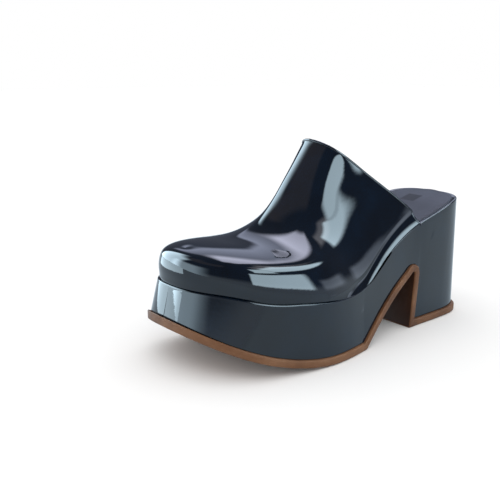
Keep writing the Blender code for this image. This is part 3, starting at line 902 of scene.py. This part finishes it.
# Camera: the photograph's angle, solved in the shoe's own frame
eye = {
    "place": (0.3659, -0.2208, 0.1764),
    "target": (-0.0185, 0.0771, 0.0600),
    "lens": 54.4,
    "sensor": 36,
    "clip": (0.01, 50),
}
lens = bpy.data.cameras.new("camera")
lens.lens, lens.sensor_width = eye["lens"], eye["sensor"]
lens.clip_start, lens.clip_end = eye["clip"]
bpy.context.scene.camera = aimedObject("camera", lens, rowShift + eye["place"], rowShift + eye["target"])
bpy.context.scene.view_settings.view_transform = "Standard"
print("set the camera")

# World: white where the camera sees it, white light for matt surfaces, and a room with windows in the gloss.
# A window has azimuth and elevation in degrees: azimuth 0 is in front of the toe, and 90 on the outer side.
# Edge is how far each side fades (left, right, low, high), and glow the radiance that the window adds
studio = {"room": (0.13, 0.145, 0.19), "daylight": 1.14}
windows = (
    {"az": (76, 126), "el": (3, 20), "edge": (3, 6, 2, 4), "glow": (6.0, 7.8, 8.9)},
    {"az": (87, 117), "el": (27, 50), "edge": (5, 6, 3, 8), "glow": (6.4, 8.3, 9.4)},
    {"az": (118, 162), "el": (34, 57), "edge": (6, 8, 6, 6), "glow": (6.8, 8.8, 10.0)},
    {"az": (-92, -40), "el": (-4, 48), "edge": (6, 16, 1, 16), "glow": (6.0, 7.8, 9.0)},
    {"az": (-52, 4), "el": (-4, 24), "edge": (10, 34, 1, 12), "glow": (3.0, 3.9, 4.5)},
    {"az": (8, 175), "el": (-4, 5), "edge": (14, 10, 1, 7), "glow": (0.62, 0.72, 0.80)},
    {"az": (-165, -118), "el": (46, 76), "edge": (12, 14, 14, 10), "glow": (5.4, 5.6, 7.0)},
    {"az": (-176, -112), "el": (22, 44), "edge": (10, 8, 6, 12), "glow": (1.0, 1.1, 1.45)},
    {"az": (110, 175), "el": (50, 66), "edge": (14, 8, 8, 8), "glow": (1.5, 1.5, 1.6)},
    {"az": (-70, 36), "el": (50, 68), "edge": (20, 16, 10, 10), "glow": (0.22, 0.18, 0.16)},
    {"az": (134, 160), "el": (3, 11), "edge": (5, 6, 3, 4), "glow": (1.2, 1.4, 1.7)},
)


# Share of a band of angles: 1 between its two ends, each fading over its own width about the end
def bandNode(nodes, links, angle, ends, fades):
    (start, end), (first, last) = ends, fades
    rise = stepNode(nodes, links, angle, start - first / 2, start + first / 2, "SMOOTHSTEP")
    fall = stepNode(nodes, links, angle, end + last / 2, end - last / 2, "SMOOTHSTEP")
    return mathNode(nodes, links, "MULTIPLY", rise, fall)


# Glow of the room: the room's own, and each window's glow * its share across * its share upwards.
# azimuth = atan2(x, -y) and elevation = asin(z), both in degrees
def roomGlow(nodes, links):
    ways = nodes.new("ShaderNodeSeparateXYZ")
    links.new(nodes.new("ShaderNodeTexCoord").outputs["Generated"], ways.inputs["Vector"])
    ahead = mathNode(nodes, links, "MULTIPLY", ways.outputs["Y"], -1.0)
    turn = mathNode(nodes, links, "ARCTAN2", ways.outputs["X"], ahead)
    climb = mathNode(nodes, links, "ARCSINE", ways.outputs["Z"])
    azimuth, elevation = (mathNode(nodes, links, "MULTIPLY", angle, 180 / math.pi) for angle in (turn, climb))
    glow = None
    for window in windows:
        across = bandNode(nodes, links, azimuth, window["az"], window["edge"][:2])
        upwards = bandNode(nodes, links, elevation, window["el"], window["edge"][2:])
        tint, total = nodes.new("ShaderNodeVectorMath"), nodes.new("ShaderNodeVectorMath")
        tint.operation, total.operation = "SCALE", "ADD"
        tint.inputs[0].default_value = window["glow"]
        links.new(mathNode(nodes, links, "MULTIPLY", across, upwards), tint.inputs["Scale"])
        links.new(tint.outputs["Vector"], total.inputs[1])
        if glow is None:
            total.inputs[0].default_value = studio["room"]
        else:
            links.new(glow, total.inputs[0])
        glow = total.outputs["Vector"]
    return glow


def makeWorld():
    world = bpy.data.worlds.new("studio")
    world.use_nodes = True
    bpy.context.scene.world = world
    nodes, links = world.node_tree.nodes, world.node_tree.links
    gloss = nodes["Background"]
    links.new(roomGlow(nodes, links), gloss.inputs["Color"])
    daylight, paper = nodes.new("ShaderNodeBackground"), nodes.new("ShaderNodeBackground")
    setInput(daylight, Color=(1, 1, 1, 1), Strength=studio["daylight"])
    setInput(paper, Color=(1, 1, 1, 1))
    rays = nodes.new("ShaderNodeLightPath").outputs
    shown = daylight.outputs["Background"]
    for ray, other in (("Is Glossy Ray", gloss), ("Is Camera Ray", paper)):
        mixed = nodes.new("ShaderNodeMixShader")
        links.new(rays[ray], mixed.inputs["Fac"])
        links.new(shown, mixed.inputs[1])
        links.new(other.outputs["Background"], mixed.inputs[2])
        shown = mixed.outputs["Shader"]
    links.new(shown, nodes["World Output"].inputs["Surface"])


makeWorld()
print("lit the room with", len(windows), "windows")

# Lamps: a low strip by the inner side of the toe in the gloss only, and a broad soft key that stays out of it
strip = {
    "place": (-0.263, -0.276, 0.031),
    "target": (0, -0.11, 0.031),
    "size": (0.34, 0.06),
    "radiance": 5.0,
    "tint": (0.68, 0.88, 1.0),
}
key = {"place": (1.2, -0.9, 1.7), "target": (0, 0, 0.06), "size": 1.2, "power": 7.0}


# Power of the strip = radiance * pi * its area
def makeLamps():
    low = bpy.data.lights.new("strip", "AREA")
    low.shape, low.color = "RECTANGLE", strip["tint"]
    low.size, low.size_y = strip["size"]
    low.energy = strip["radiance"] * math.pi * low.size * low.size_y
    lowLamp = aimedObject("strip", low, strip["place"], strip["target"])
    lowLamp.visible_diffuse, lowLamp.visible_camera = False, False
    broad = bpy.data.lights.new("key", "AREA")
    broad.shape, broad.size, broad.energy = "DISK", key["size"], key["power"]
    aimedObject("key", broad, key["place"], key["target"]).visible_glossy = False


makeLamps()
print("hung the lamps")

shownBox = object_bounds()
for label, (lowest, highest) in (("cad box", cadBox), ("visual box", shownBox)):
    print(label, [round(value, 4) for value in (*lowest, *highest)])
